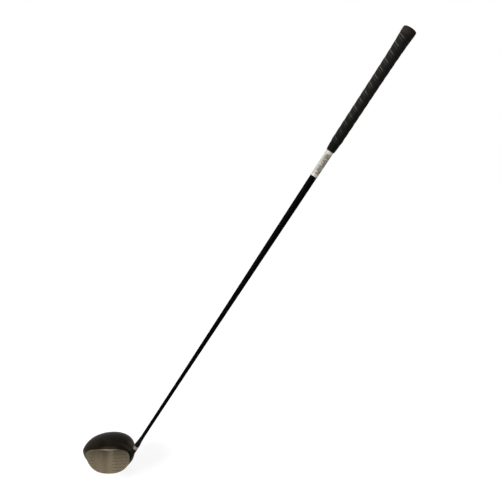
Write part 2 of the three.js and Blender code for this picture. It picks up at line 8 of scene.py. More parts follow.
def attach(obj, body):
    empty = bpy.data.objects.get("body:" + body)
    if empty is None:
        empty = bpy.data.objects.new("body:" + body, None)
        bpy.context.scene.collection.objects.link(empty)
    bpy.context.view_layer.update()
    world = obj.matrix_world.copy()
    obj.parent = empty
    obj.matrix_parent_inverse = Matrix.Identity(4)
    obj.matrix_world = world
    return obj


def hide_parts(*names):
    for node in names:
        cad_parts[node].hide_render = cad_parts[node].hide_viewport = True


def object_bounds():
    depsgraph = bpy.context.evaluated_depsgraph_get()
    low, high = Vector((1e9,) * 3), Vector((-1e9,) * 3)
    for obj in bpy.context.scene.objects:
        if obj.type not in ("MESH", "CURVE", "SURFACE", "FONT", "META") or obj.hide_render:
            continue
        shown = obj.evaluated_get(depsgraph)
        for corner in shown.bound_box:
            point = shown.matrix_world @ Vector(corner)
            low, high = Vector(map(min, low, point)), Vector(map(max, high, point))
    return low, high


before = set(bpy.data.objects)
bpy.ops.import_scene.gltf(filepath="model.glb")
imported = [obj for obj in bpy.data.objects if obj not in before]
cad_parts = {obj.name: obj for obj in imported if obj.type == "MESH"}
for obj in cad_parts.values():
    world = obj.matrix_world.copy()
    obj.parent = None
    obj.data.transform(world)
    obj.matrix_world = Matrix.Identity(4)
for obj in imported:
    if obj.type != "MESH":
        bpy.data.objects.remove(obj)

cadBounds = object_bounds()
print("frame loaded with", len(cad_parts), "solids")

# Pieces are drawn in millimetres: the head in the ground's frame, and all that is turned along the shaft's
# axis, counted from where that axis meets the ground. A finished piece goes to metres, counted from the hold.
club = {"length": 1143, "lean": 32, "holdFromButt": 115, "seatGap": 0.3, "slideGap": 0.12, "overrun": 2,
        "sides": 96, "roundSteps": 5}
seatGap = club["seatGap"]
slideGap = club["slideGap"]
overrun = club["overrun"]
lean = math.radians(club["lean"])
holdAt = club["length"] - club["holdFromButt"]
toRow = Matrix.Scale(0.001, 4) @ Matrix.Translation((-holdAt * math.sin(lean), 0, -holdAt * math.cos(lean)))
groundX = -holdAt * math.sin(lean) / 1000
groundLevel = -holdAt * math.cos(lean) / 1000
ontoShaft = Matrix.Rotation(lean, 4, "Y")


# Mesh helpers

def mix(start, end, share):
    return start + (end - start) * share


def turnsRound(count):
    return [2 * math.pi * i / count for i in range(count)]


def placed(name, data):
    made = bpy.data.objects.new(name, data)
    bpy.context.scene.collection.objects.link(made)
    return made


def objectFrom(name, mesh):
    data = bpy.data.meshes.new(name)
    bmesh.ops.recalc_face_normals(mesh, faces=mesh.faces)
    mesh.to_mesh(data)
    mesh.free()
    return placed(name, data)


def skinned(name, rings, closes=False):
    # a closed skin over rings of points; a ring of one point is a pole
    mesh = bmesh.new()
    rows = [[mesh.verts.new(point) for point in ring] for ring in rings]
    pairs = list(zip(rows, rows[1:])) + ([(rows[-1], rows[0])] if closes else [])
    for low, high in pairs:
        count = max(len(low), len(high))
        for i in range(count if count > 1 else 0):
            k = (i + 1) % count
            corners = [low[i % len(low)], low[k % len(low)], high[k % len(high)], high[i % len(high)]]
            mesh.faces.new(list(dict.fromkeys(corners)))
    return objectFrom(name, mesh)


def softCorner(before, corner, after, size, steps=club["roundSteps"]):
    # a quarter round that replaces a corner, size long on both sides
    toBefore = Vector(before) - Vector(corner)
    toAfter = Vector(after) - Vector(corner)
    back = toBefore.normalized() * min(size, toBefore.length / 2)
    on = toAfter.normalized() * min(size, toAfter.length / 2)
    turns = [math.pi / 2 * step / steps for step in range(steps + 1)]
    return [Vector(corner) + back * (1 - math.sin(turn)) + on * (1 - math.cos(turn)) for turn in turns]


def turned(name, corners, sides=club["sides"]):
    # a turned piece about the shaft's axis: a corner is a radius, a place along and perhaps a rounding
    profile = []
    for i, (radius, along, *rounding) in enumerate(corners):
        if rounding and radius > 0:
            after = corners[(i + 1) % len(corners)][:2]
            profile += softCorner(corners[i - 1][:2], (radius, along), after, *rounding)
        else:
            profile.append(Vector((radius, along)))
    rings = [[(radius * math.cos(turn), radius * math.sin(turn), along) for turn in turnsRound(sides)]
             if radius > 0 else [(0, 0, along)] for radius, along in profile]
    return skinned(name, rings, closes=corners[0][0] > 0)


def rod(name, radius, low, high, sides=club["sides"]):
    return turned(name, [(0, low), (radius, low), (radius, high), (0, high)], sides)


def boxed(name, size, centre):
    mesh = bmesh.new()
    bmesh.ops.create_cube(mesh, size=1)
    bmesh.ops.scale(mesh, vec=size, verts=mesh.verts)
    bmesh.ops.translate(mesh, vec=centre, verts=mesh.verts)
    return objectFrom(name, mesh)


def moved(piece, matrix):
    piece.data.transform(matrix)
    return piece


def applied(piece):
    # the piece's modifiers become plain mesh
    graph = bpy.context.evaluated_depsgraph_get()
    made = bpy.data.meshes.new_from_object(piece.evaluated_get(graph))
    old = piece.data
    piece.modifiers.clear()
    piece.data = made
    bpy.data.meshes.remove(old)
    return piece


def combined(piece, tool, operation="DIFFERENCE"):
    # the tool is used up
    step = piece.modifiers.new("step", "BOOLEAN")
    step.solver = "MANIFOLD"
    step.operation = operation
    step.object = tool
    applied(piece)
    data = tool.data
    bpy.data.objects.remove(tool)
    bpy.data.meshes.remove(data)
    return piece


def finished(piece, body, nodes, material=None, sharp=32):
    # to metres, smooth with crisp edges, and onto its body
    moved(piece, toRow)
    piece.data.shade_smooth()
    piece.data.set_sharp_from_angle(angle=math.radians(sharp))
    if material:
        piece.data.materials.clear()
        piece.data.materials.append(material)
    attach(piece, body)
    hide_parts(*nodes)
    print("made", piece.name, "with", len(piece.data.polygons), "faces")


# Node helpers

class Value:
    # what a node gives; a sum with other values or plain numbers adds its node to the same tree
    def __init__(self, socket):
        self.socket = socket
        self.tree = socket.id_data

    def axis(self, name):
        return valueOf(self.tree, "ShaderNodeSeparateXYZ", {0: self}, name)

    def __add__(self, other):
        return calc("ADD", self, other)

    def __sub__(self, other):
        return calc("SUBTRACT", self, other)

    def __rsub__(self, other):
        return calc("SUBTRACT", other, self)

    def __mul__(self, other):
        return calc("MULTIPLY", self, other)

    def __truediv__(self, other):
        return calc("DIVIDE", self, other)

    def __pow__(self, other):
        return calc("POWER", self, other)

    def __abs__(self):
        return calc("ABSOLUTE", self)


def addNode(tree, kind, values=None, **settings):
    made = tree.nodes.new(kind)
    for key, value in settings.items():
        setattr(made, key, value)
    for key, value in (values or {}).items():
        if isinstance(value, Value):
            tree.links.new(value.socket, made.inputs[key])
        else:
            made.inputs[key].default_value = value
    return made


def valueOf(tree, kind, values=None, output=0, **settings):
    return Value(addNode(tree, kind, values, **settings).outputs[output])


def calc(operation, *values):
    tree = next(value.tree for value in values if isinstance(value, Value))
    return valueOf(tree, "ShaderNodeMath", dict(enumerate(values)), operation=operation)


def mapped(value, fromLow, fromHigh, toLow=0.0, toHigh=1.0):
    inputs = dict(enumerate((value, fromLow, fromHigh, toLow, toHigh)))
    return valueOf(value.tree, "ShaderNodeMapRange", inputs, interpolation_type="SMOOTHSTEP")


def blended(factor, first, second):
    return valueOf(factor.tree, "ShaderNodeMix", {0: factor, 6: first, 7: second}, 2, data_type="RGBA")


def noiseOn(position, scale, detail, **more):
    inputs = {"Vector": position, "Scale": scale, "Detail": detail, **more}
    return valueOf(position.tree, "ShaderNodeTexNoise", inputs)


def stretched(position, stretch):
    return valueOf(position.tree, "ShaderNodeVectorMath", {0: position, 1: stretch}, operation="MULTIPLY")


def distanceTo(position, point):
    return valueOf(position.tree, "ShaderNodeVectorMath", {0: position, 1: point}, "Value",
                   operation="DISTANCE")


def tone(red, green, blue):
    # a colour as the screen shows it, 0 to 255, as a linear colour
    def linear(value):
        value /= 255
        return value / 12.92 if value <= 0.04045 else ((value + 0.055) / 1.055) ** 2.4
    return (linear(red), linear(green), linear(blue), 1)


def newGroup(name, treeKind, labels, result):
    # an empty node group and what its inputs give, in the order of their labels
    tree = bpy.data.node_groups.new(name, treeKind)
    kinds = {"Geometry": "NodeSocketGeometry", "position": "NodeSocketVector", "stretch": "NodeSocketVector"}
    for label in labels:
        tree.interface.new_socket(label, in_out="INPUT", socket_type=kinds.get(label, "NodeSocketFloat"))
    tree.interface.new_socket(result, in_out="OUTPUT", socket_type=kinds.get(result, "NodeSocketFloat"))
    sockets = tree.nodes.new("NodeGroupInput").outputs
    return tree, [Value(sockets[label]) for label in labels]


def closeGroup(tree, result):
    tree.links.new(result.socket, tree.nodes.new("NodeGroupOutput").inputs[0])
    return tree


# Effects that several finishes share: wiring from a position in metres to one value, kept as a node group

def sharedEffect(*labels):
    def grouped(wiring):
        tree, given = newGroup(wiring.__name__, "ShaderNodeTree", ("position", *labels), "value")
        closeGroup(tree, wiring(*given))

        def place(position, **inputs):
            inputs["position"] = position
            return valueOf(position.tree, "ShaderNodeGroup", inputs, node_tree=tree)
        return place
    return grouped


@sharedEffect("scale", "detail", "contrast")
def fineGrain(position, scale, detail, contrast):
    # even fine grain: a value round 0.5
    return (noiseOn(position, scale, detail, Roughness=0.6) - 0.5) * contrast + 0.5


@sharedEffect("stretch", "scale")
def brushedLines(position, stretch, scale):
    # long thin lines along one axis, which the stretch sets
    return noiseOn(stretched(position, stretch), scale, 5.0, Roughness=0.7)


@sharedEffect("scale", "cover")
def smudges(position, scale, cover):
    # soft handling marks: patches of fingerprints and haze
    large = noiseOn(position, scale, 3.0, Distortion=0.8)
    fine = noiseOn(position, scale * 9.0, 3.0)
    limit = 0.95 - cover
    return mapped(fine * 0.35 + large * 0.75, limit, limit + 0.3)


@sharedEffect("stretch", "scale", "amount")
def hairScratches(position, stretch, scale, amount):
    # sparse hairline scratches, drawn out along one axis
    lines = noiseOn(stretched(position, stretch), scale, 1.0)
    patches = noiseOn(position, scale * 0.3, 1.0)
    return mapped(abs(lines - 0.5), 0.0, 0.02, 1.0, 0.0) * mapped(patches, 1.0 - amount, 0.9)


# Finishes

def newFinish(name, uniform):
    # a material with its shader's plain numbers set, and the piece's own coordinates
    material = bpy.data.materials.new(name)
    material.use_nodes = True
    tree = material.node_tree
    for key, value in uniform.items():
        tree.nodes["Principled BSDF"].inputs[key].default_value = value
    return material, valueOf(tree, "ShaderNodeTexCoord", output="Object")


def wired(material, colour, rough, height=None, bump=0.0, **inputs):
    # links what the shader is fed with; the bump of the height is in millimetres
    tree = material.node_tree
    inputs["Base Color"] = colour
    inputs["Roughness"] = rough
    if height:
        sizes = {"Height": height, "Distance": bump / 1000, "Strength": 1.0}
        inputs["Normal"] = valueOf(tree, "ShaderNodeBump", sizes)
    for key, value in inputs.items():
        tree.links.new(value.socket, tree.nodes["Principled BSDF"].inputs[key])
    return material


def alongShaft(position):
    # the piece's coordinates turned so that Z runs along the shaft
    return valueOf(position.tree, "ShaderNodeMapping", {"Vector": position, "Rotation": (0, -lean, 0)})


def overReach(value, reach, first=1.0, last=0.0):
    # from the first to the last while the value crosses the reach, which is in millimetres
    return mapped(value, reach[0] / 1000, reach[1] / 1000, first, last)


def fromPlaneX(position, x):
    # how far a point lies to either side of the upright plane at x, which is in millimetres on the ground
    return abs(position.axis("X") - (groundX + x / 1000))


def aboveGround(position):
    return position.axis("Z") - groundLevel


# where scuffs, upright streaks, painted highlights and painted shade lie on the head, and how far from there
# they fade, in millimetres
wearAndLight = {
    "hoselSpot": (20, 33, 46), "hoselReach": (4, 18), "edgeX": -24, "edgeReach": (6, 27),
    "crownReach": (8, 26), "crownBack": (-6, 2), "lightStreakX": -18.5, "lightStreakReach": (2, 10),
    "dullStreakX": -33.5, "dullStreakReach": (2, 8), "scuffHeight": (1, 10), "paintedShadeHeight": 60,
}


def makeCrownFinish():
    # dark warm lacquer with flakes and haze, and a painted warm highlight along its front edge over the
    # face's middle and beside the hosel
    material, position = newFinish("crownLacquer", {"Specular IOR Level": 0.015})
    flakes = fineGrain(position, scale=2600.0, detail=1.0, contrast=3.0)
    cloud = smudges(position, scale=26.0, cover=0.5)
    lines = hairScratches(position, stretch=(1.0, 0.06, 0.3), scale=220.0, amount=0.5)
    deep = blended(mapped(flakes, 0.5, 1.6), tone(16, 12, 6), tone(58, 49, 36))
    base = blended(cloud * 0.5, deep, tone(38, 32, 22))
    # painted highlight: lighter, warmer lacquer beside the hosel and along the front edge over the face's
    # middle
    fromHosel = distanceTo(position, toRow @ Vector(wearAndLight["hoselSpot"]))
    overFace = overReach(position.axis("Y"), wearAndLight["crownBack"], 0.3)
    overFace *= overReach(fromPlaneX(position, wearAndLight["edgeX"]), wearAndLight["crownReach"])
    wearAndHighlight = calc("MAXIMUM", overReach(fromHosel, wearAndLight["hoselReach"], 0.36), overFace)
    colour = blended(wearAndHighlight, base, tone(94, 80, 64))
    rough = cloud * 0.16 + lines * 0.25 + 0.24
    return wired(material, colour, rough, flakes, 0.004)


def makeBodyFinish():
    # satin black paint, scuffed to bare metal where the sole meets the ground
    material, position = newFinish("bodyPaint", {"Specular IOR Level": 0.015})
    grain = fineGrain(position, scale=1500.0, detail=3.0, contrast=1.4)
    cloud = smudges(position, scale=34.0, cover=0.45)
    lines = hairScratches(position, stretch=(1.0, 0.035, 0.12), scale=300.0, amount=0.75)
    bare = lines * overReach(aboveGround(position), wearAndLight["scuffHeight"])
    paint = blended(mapped(grain, 0.2, 0.9), tone(17, 15, 13), tone(30, 27, 24))
    hazed = blended(cloud * 0.4, paint, tone(46, 43, 38))
    colour = blended(bare, hazed, tone(136, 130, 122))
    return wired(material, colour, cloud * 0.14 + 0.32, grain - lines, 0.006, Metallic=bare * 0.9)


def makeFaceFinish():
    # blasted grey metal, brushed upright, with a lighter upright streak and a duller one, and painted shade
    # that darkens it towards its top
    material, position = newFinish("faceMetal", {"Specular IOR Level": 0.5, "Metallic": 0.85})
    grain = fineGrain(position, scale=1900.0, detail=4.0, contrast=1.6)
    lines = brushedLines(position, stretch=(1.0, 1.0, 0.05), scale=900.0)
    cloud = smudges(position, scale=40.0, cover=0.5)
    light = overReach(fromPlaneX(position, wearAndLight["lightStreakX"]), wearAndLight["lightStreakReach"])
    dull = overReach(fromPlaneX(position, wearAndLight["dullStreakX"]), wearAndLight["dullStreakReach"])
    texture = lines * 0.7 + grain * 0.3
    # painted shade: the face is lighter near the sole and darker towards its top
    rise = (aboveGround(position) * (1000 / wearAndLight["paintedShadeHeight"])) ** 2.2
    lowTone = blended(rise, tone(100, 88, 71), tone(44, 39, 28))
    highTone = blended(rise, tone(124, 111, 92), tone(66, 60, 46))
    plain = blended(mapped(texture, 0.3, 0.7), lowTone, highTone)
    streaked = blended(light * 0.26, plain, tone(132, 122, 102))
    colour = blended(calc("MAXIMUM", cloud * 0.3, dull * 0.6), streaked, lowTone)
    return wired(material, colour, texture * 0.25 + 0.28, texture, 0.01)


def makeFaceEdgeFinish():
    # the face's rounded edge, with a painted highlight over the face's middle that fades to a duller tone
    # towards the toe and the heel
    material, position = newFinish("faceEdge", {"Metallic": 0.9})
    grain = fineGrain(position, scale=900.0, detail=3.0, contrast=1.5)
    # painted highlight: the edge is bright near the face's middle
    paintedHighlight = overReach(fromPlaneX(position, wearAndLight["edgeX"]), wearAndLight["edgeReach"])
    dull = blended(grain, tone(54, 49, 39), tone(76, 70, 58))
    bright = blended(grain, tone(140, 133, 118), tone(178, 170, 154))
    colour = blended(paintedHighlight, dull, bright)
    return wired(material, colour, mapped(grain, 0.2, 0.8, 0.2, 0.36), grain, 0.006)


def makeGroovePaint():
    # dark paint left in the score lines
    material, position = newFinish("scoreLinePaint", {"Specular IOR Level": 0.3})
    grain = fineGrain(position, scale=3000.0, detail=2.0, contrast=2.0)
    colour = blended(grain, tone(44, 38, 31), tone(74, 65, 54))
    return wired(material, colour, mapped(grain, 0.0, 1.0, 0.5, 0.8))


def makeTurnedMetal(name, dark, light, roughness, scale=1500.0):
    # machined metal with the fine rings of the lathe round the shaft's axis
    material, position = newFinish(name, {"Metallic": 0.95})
    rings = brushedLines(alongShaft(position), stretch=(0.06, 0.06, 1.0), scale=scale)
    cloud = smudges(position, scale=90.0, cover=0.4)
    colour = blended(cloud * 0.3, blended(mapped(rings, 0.3, 0.7), dark, light), dark)
    return wired(material, colour, rings * 0.2 + (roughness - 0.1), rings, 0.006)


def makeFerruleFinish():
    # polished black resin
    material, position = newFinish("ferruleResin", {"Specular IOR Level": 0.04})
    cloud = smudges(position, scale=110.0, cover=0.45)
    grain = fineGrain(position, scale=900.0, detail=2.0, contrast=1.0)
    colour = blended(cloud, tone(11, 9, 10), tone(26, 24, 23))
    return wired(material, colour, cloud * 0.15 + 0.2, grain, 0.003)


def makeShaftFinish():
    # black lacquer over carbon: fibres along the shaft, sanded rings and light haze
    material, position = newFinish("shaftLacquer", {"Specular IOR Level": 0.01})
    straight = alongShaft(position)
    fibres = brushedLines(straight, stretch=(1.0, 1.0, 0.02), scale=1500.0)
    rings = brushedLines(straight, stretch=(0.05, 0.05, 1.0), scale=500.0)
    cloud = smudges(straight, scale=18.0, cover=0.45)
    fibreTone = blended(mapped(fibres, 0.45, 0.75), tone(2, 1, 2), tone(8, 6, 7))
    colour = blended(cloud * 0.25, fibreTone, tone(12, 10, 10))
    return wired(material, colour, rings * 0.2 + 0.28, rings, 0.004)


# the plain marks on the label, in millimetres round the band and along it; their panel fades at both ends
marks = {
    "length": 8.0, "pitch": 2.6, "line": 0.5, "rowShift": 0.35, "shorter": 0.6, "shorterRow": 3,
    "panelRound": (3.5, 8.5, 21.0, 23.0), "panelAlong": (3.0, 9.0, 50.0, 53.0),
}


def inPanel(value, limits):
    start, full, fading, end = limits
    return mapped(value, start, full) * mapped(value, fading, end, 1.0, 0.0)


def makeLabelFinish():
    # a silvery band with plain grey marks in rows, scratched along the shaft
    material, position = newFinish("labelFoil", {"Specular IOR Level": 0.4, "Metallic": 0.15})
    tree = material.node_tree
    straight = alongShaft(position)
    wrapped = valueOf(tree, "ShaderNodeAttribute", output="Vector", attribute_name="wrapped")
    rows = valueOf(tree, "ShaderNodeTexBrick", {
        "Vector": wrapped, "Color1": (0, 0, 0, 1), "Color2": (1, 1, 1, 1), "Mortar": (0.5, 0.5, 0.5, 1),
        "Scale": 1.0, "Mortar Size": marks["line"], "Mortar Smooth": 0.1, "Bias": 0.0,
        "Brick Width": marks["length"], "Row Height": marks["pitch"]}, "Color",
        offset=marks["rowShift"], squash=marks["shorter"], squash_frequency=marks["shorterRow"])
    brightness = valueOf(tree, "ShaderNodeSeparateColor", {0: rows})
    grain = fineGrain(straight, scale=700.0, detail=4.0, contrast=1.6)
    wearAndHighlight = hairScratches(straight, stretch=(1.0, 1.0, 0.2), scale=240.0, amount=0.6)
    panel = inPanel(wrapped.axis("X"), marks["panelRound"]) * inPanel(wrapped.axis("Y"), marks["panelAlong"])
    marked = mapped(brightness, 0.2, 0.42) * panel
    plain = blended(grain, tone(172, 166, 155), tone(200, 194, 183))
    inked = blended(marked * 0.9, plain, tone(108, 102, 93))
    colour = blended(wearAndHighlight, inked, tone(110, 104, 96))
    rough = mapped(grain, 0.2, 0.8, 0.4, 0.6)
    return wired(material, colour, rough, grain + marked, 0.01)


# where painted light lies on the grip: lighter to the left of the shaft's axis, and painted shade towards the
# mouth; in millimetres across the shaft and along it from the hold
gripPaintedLight = {"acrossReach": (-12, 8), "alongReach": (-105, -50)}


def makeRubber(name, dark, dusty, litSideShare=0.3, strip=False):
    # matt rubber with a cast grain, greyer on its left side with painted light and darker towards the mouth
    # with painted shade; the strip also has pores and lips with a painted highlight on the left side
    material, position = newFinish(name, {"Specular IOR Level": 0.05})
    straight = alongShaft(position)
    grain = fineGrain(position, scale=1700.0, detail=5.0, contrast=1.8)
    cloud = smudges(position, scale=60.0, cover=0.45)
    side = overReach(straight.axis("X"), gripPaintedLight["acrossReach"])
    mouthShade = overReach(straight.axis("Z"), gripPaintedLight["alongReach"], 0.5, 1.0)
    base = blended(cloud * 0.6, dark, dusty)
    # painted light: greyer on the shaft's left side
    base = blended(side * litSideShare, base, tone(78, 74, 68))
    height = grain
    if strip:
        across = valueOf(material.node_tree, "ShaderNodeAttribute", output="Vector", attribute_name="strip")
        # painted highlight on the strip's lips, on the left side
        base = blended(across.axis("Z") * 0.9, base, tone(96, 94, 88))
        inputs = {"Vector": across, "Scale": 1.0, "Randomness": 0.0}
        pores = valueOf(across.tree, "ShaderNodeTexVoronoi", inputs, "Distance", voronoi_dimensions="2D")
        pit = mapped(pores, 0.14, 0.3, 1.0, 0.0)
        base = blended(pit * 0.8, base, tone(5, 5, 4))
        height = grain - pit * 4.0
    # painted shade: darker towards the grip's mouth
    colour = blended(mouthShade, tone(4, 4, 4), base)
    return wired(material, colour, mapped(grain, 0.2, 0.8, 0.55, 0.8), height, 0.04)


def makeInsideFinish(name, dark, light, scale, rough, stretch=(1.0, 1.0, 1.0)):
    # nylon, rubber, cork or paper, by the grain's scale and stretch
    material, position = newFinish(name, {"Metallic": 0.0})
    lines = brushedLines(alongShaft(position), stretch=stretch, scale=scale)
    colour = blended(mapped(lines, 0.3, 0.7), dark, light)
    roughness = mapped(lines, 0.2, 0.8, rough - 0.1, rough + 0.1)
    return wired(material, colour, roughness, lines, 0.02)


# Head: a row of sections from the face to the tail, cut off by the curved face in front

head = {
    "centreFront": -25, "centreWide": -32, "toeReachFront": 49, "toeReachWide": 61.3,
    "heelReachFront": 48, "heelReachWide": 59.5, "toeWaistFront": 46, "toeWaistWide": 37,
    "heelWaistFront": 40, "heelWaistWide": 31, "tailWaist": 31, "crownApex": 64, "faceTop": 59.6,
    "faceTopY": -9, "frontY": -20, "crownApexY": 16, "wideY": 20, "soleTurnY": 14, "tailY": 89,
    "soleCamber": 0.6, "leadingEdge": 2.4, "leadingEdgeY": -20, "longestFrontShare": 1.5, "wall": 1.2,
    "seamHeight": 39, "seamTilt": 3, "planPower": 2.2,
    "frontPowers": {"toeUpper": 3, "toeLower": 2.4, "heelUpper": 3.4, "heelLower": 2.3},
    "widePowers": {"toeUpper": 2.05, "toeLower": 2.1, "heelUpper": 2, "heelLower": 3},
    "columns": 168, "rows": 64, "faceRows": 26, "hollowColumns": 120, "hollowRows": 48,
}
face = {
    "x": -25, "y": -16, "z": 31, "loft": 10.5, "bulge": 305, "thickness": 2.8, "edgeRound": 1.2,
    "rimDepth": 0.8, "edgeLooksOut": 0.9, "scoreWidth": 0.8, "scoreDepth": 0.4, "scoreReach": 40,
    "scorePitch": 7.4, "scoreRows": 6, "scoreLowest": 11, "toeStart": 31, "heelStart": 8,
    "edgeMargin": 3.5, "shortest": 5, "edgeSteps": 20, "edgeStep": 0.8,
}


def shareOf(y, start, end):
    # how far y has come from the start to the end, 0 to 1
    return min(1, max(0, (y - start) / (end - start)))


def sectionAt(y, inset):
    tail = head["tailY"] - inset
    wideShare = shareOf(y, head["frontY"], head["wideY"])
    wideShare = wideShare ** 2 * (3 - 2 * wideShare)
    planShare = (1 - shareOf(y, head["wideY"], tail) ** head["planPower"]) ** (1 / head["planPower"])
    crownRun = shareOf(y, head["crownApexY"], tail)
    soleRun = shareOf(y, head["soleTurnY"], tail)
    crownFront = max(0, head["crownApexY"] - y) / (head["crownApexY"] - head["faceTopY"])
    soleFront = max(0, head["soleTurnY"] - y) / (head["soleTurnY"] - head["leadingEdgeY"])
    longest = head["longestFrontShare"]
    crown = mix(head["crownApex"], head["faceTop"], min(longest, crownFront) ** 2) - inset
    sole = mix(-head["soleCamber"], head["leadingEdge"], min(longest, soleFront) ** 2) + inset
    section = {
        "centre": mix(head["centreFront"], head["centreWide"], wideShare),
        "top": head["tailWaist"] + (crown - head["tailWaist"]) * math.sqrt(1 - crownRun ** 2),
        "bottom": head["tailWaist"] + (sole - head["tailWaist"]) * math.sqrt(1 - soleRun ** 2),
    }
    for side in ("toe", "heel"):
        waist = mix(head[side + "WaistFront"], head[side + "WaistWide"], wideShare)
        reach = mix(head[side + "ReachFront"], head[side + "ReachWide"], wideShare) - inset
        powers = [mix(head["frontPowers"][side + half], head["widePowers"][side + half], wideShare)
                  for half in ("Upper", "Lower")]
        section[side] = (reach * planShare, mix(waist, head["tailWaist"], 1 - planShare), *powers)
    return section


def sectionPoint(section, turn):
    across, up = math.cos(turn), math.sin(turn)
    reach, waist, upper, lower = section["heel" if across >= 0 else "toe"]
    power = upper if up >= 0 else lower
    waist = min(waist, section["top"])
    rise = section["top"] - waist if up >= 0 else waist - section["bottom"]
    x = section["centre"] + math.copysign(reach * abs(across) ** (2 / power), across)
    return x, waist + math.copysign(rise * abs(up) ** (2 / power), up)


def skinPoint(turn, inset, y):
    x, z = sectionPoint(sectionAt(y, inset), turn)
    return Vector((x, y, z))


def faceAt(x, z):
    dx, dz = x - face["x"], z - face["z"]
    return face["y"] + dz * math.tan(math.radians(face["loft"])) + (dx * dx + dz * dz) / (2 * face["bulge"])


def edgeY(turn, inset, depth):
    # how far back the head's skin meets the face, or the face moved back by a depth, found step by step
    y = face["y"]
    for _ in range(face["edgeSteps"]):
        y = mix(y, faceAt(*sectionPoint(sectionAt(y, inset), turn)) + depth, face["edgeStep"])
    return y


def faceRings(edge, depth):
    # rings on the face's own curve, from its middle out to an edge
    rings = [[(face["x"], faceAt(face["x"], face["z"]) + depth, face["z"])]]
    for row in range(1, head["faceRows"]):
        share = row / head["faceRows"]
        spots = [(mix(face["x"], point.x, share), mix(face["z"], point.z, share)) for point in edge]
        rings.append([(x, faceAt(x, z) + depth, z) for x, z in spots])
    return rings


def headBlock(name, inset=0.0, depth=0.0, columns=head["columns"], rows=head["rows"]):
    # the head's form drawn in by an inset, closed in front by the face moved back by a depth
    turns = turnsRound(columns)
    fronts = [edgeY(turn, inset, depth) for turn in turns]
    rings = faceRings([skinPoint(turn, inset, y) for turn, y in zip(turns, fronts)], depth)
    tail = head["tailY"] - inset
    for row in range(rows):
        share = math.sin(math.pi / 2 * row / rows)
        rings.append([skinPoint(turn, inset, mix(y, tail, share)) for turn, y in zip(turns, fronts)])
    rings.append([(head["centreWide"], tail, head["tailWaist"])])
    return skinned(name, rings)


def faceSlice(name, inset, front, back, rounding=0.0):
    # a plate between the face moved by two depths, inside the head's skin, with a rounded front edge
    turns = turnsRound(head["columns"])
    edge, behind = [[skinPoint(turn, inset, edgeY(turn, inset, depth)) for turn in turns]
                    for depth in (front, back)]
    if rounding:
        middle = Vector((face["x"], faceAt(face["x"], face["z"]) + front, face["z"]))
        inner = [corner + (middle - corner).normalized() * rounding for corner in edge]
        inner = [Vector((point.x, faceAt(point.x, point.z) + front, point.z)) for point in inner]
        corners = [softCorner(a, b, c, rounding) for a, b, c in zip(inner, edge, behind)]
        for corner, start in zip(corners, inner):
            corner[0] = start
        rings = faceRings(inner, front) + [list(ring) for ring in zip(*corners)]
    else:
        rings = faceRings(edge, front) + [edge]
    return skinned(name, rings + [behind] + faceRings(behind, back)[::-1])


def halfSpace(name, height):
    # all that lies below a height
    reach = 4 * head["tailY"]
    return boxed(name, (reach, reach, reach), (0, 0, height - reach / 2))


def underSeam(lift=0.0):
    made = moved(halfSpace("underSeam", 0), Matrix.Rotation(-math.radians(head["seamTilt"]), 4, "X"))
    return moved(made, Matrix.Translation((0, 0, head["seamHeight"] + lift)))


hosel = {
    "top": 67, "topRound": 0.35, "radius": 6.2, "flareRadius": 8, "flareStart": 34, "flareEnd": 57,
    "flarePower": 2.2, "flareRows": 24, "tubeRadius": 7.4, "joinHeight": 17, "joinInset": 0.05,
    "portRadius": 5.4, "bossRadius": 8.2, "bossTop": 28, "shelfBottom": 21.8, "shelfTop": 24.2,
    "shelfHole": 2.8,
}
sleeve = {
    "bottom": 26.5, "radius": 5.2, "bottomRound": 0.5, "mouthRound": 0.2, "threadDepth": 12,
    "threadRadius": 2.6, "floor": 41, "collarHeight": 8.6, "chamfer": 0.5, "lugs": 4, "lugWidth": 2.4,
    "lugHeight": 3.6, "lugReach": 0.5, "lugRoot": 0.2, "lineDepth": 0.25, "lineWidth": 0.7,
    "lineInset": 1.7, "lineEdgeRound": 0.08, "lineFloorRound": 0.1,
}
collarBottom = hosel["top"] + seatGap
collarTop = collarBottom + sleeve["collarHeight"]


def hoselBlock(name, grow):
    # the hosel's outside with the boss below it, grown by a little
    low, top = -overrun, hosel["top"]
    corners = [(0, low), (hosel["bossRadius"] + grow, low), (hosel["bossRadius"] + grow, hosel["bossTop"]),
               (hosel["tubeRadius"] + grow, hosel["bossTop"] + overrun)]
    for row in range(hosel["flareRows"] + 1):
        share = row / hosel["flareRows"]
        flare = (1 - share) ** hosel["flarePower"]
        radius = mix(hosel["radius"], hosel["flareRadius"], flare) + grow
        corners.append((radius, mix(hosel["flareStart"], hosel["flareEnd"], share)))
    corners += [(hosel["radius"] + grow, top, hosel["topRound"]), (0, top)]
    return moved(turned(name, corners), ontoShaft)


def lugBlocks(grow):
    # the sleeve's lugs, standing round its axis
    height = sleeve["lugHeight"] + grow
    reach = sleeve["radius"] + sleeve["lugReach"] + grow
    size = (reach, sleeve["lugWidth"] + 2 * grow, height)
    for index in range(sleeve["lugs"]):
        block = boxed("lug", size, (reach / 2, 0, collarBottom - height / 2))
        yield moved(block, Matrix.Rotation(2 * math.pi * (index + 0.5) / sleeve["lugs"], 4, "Z"))


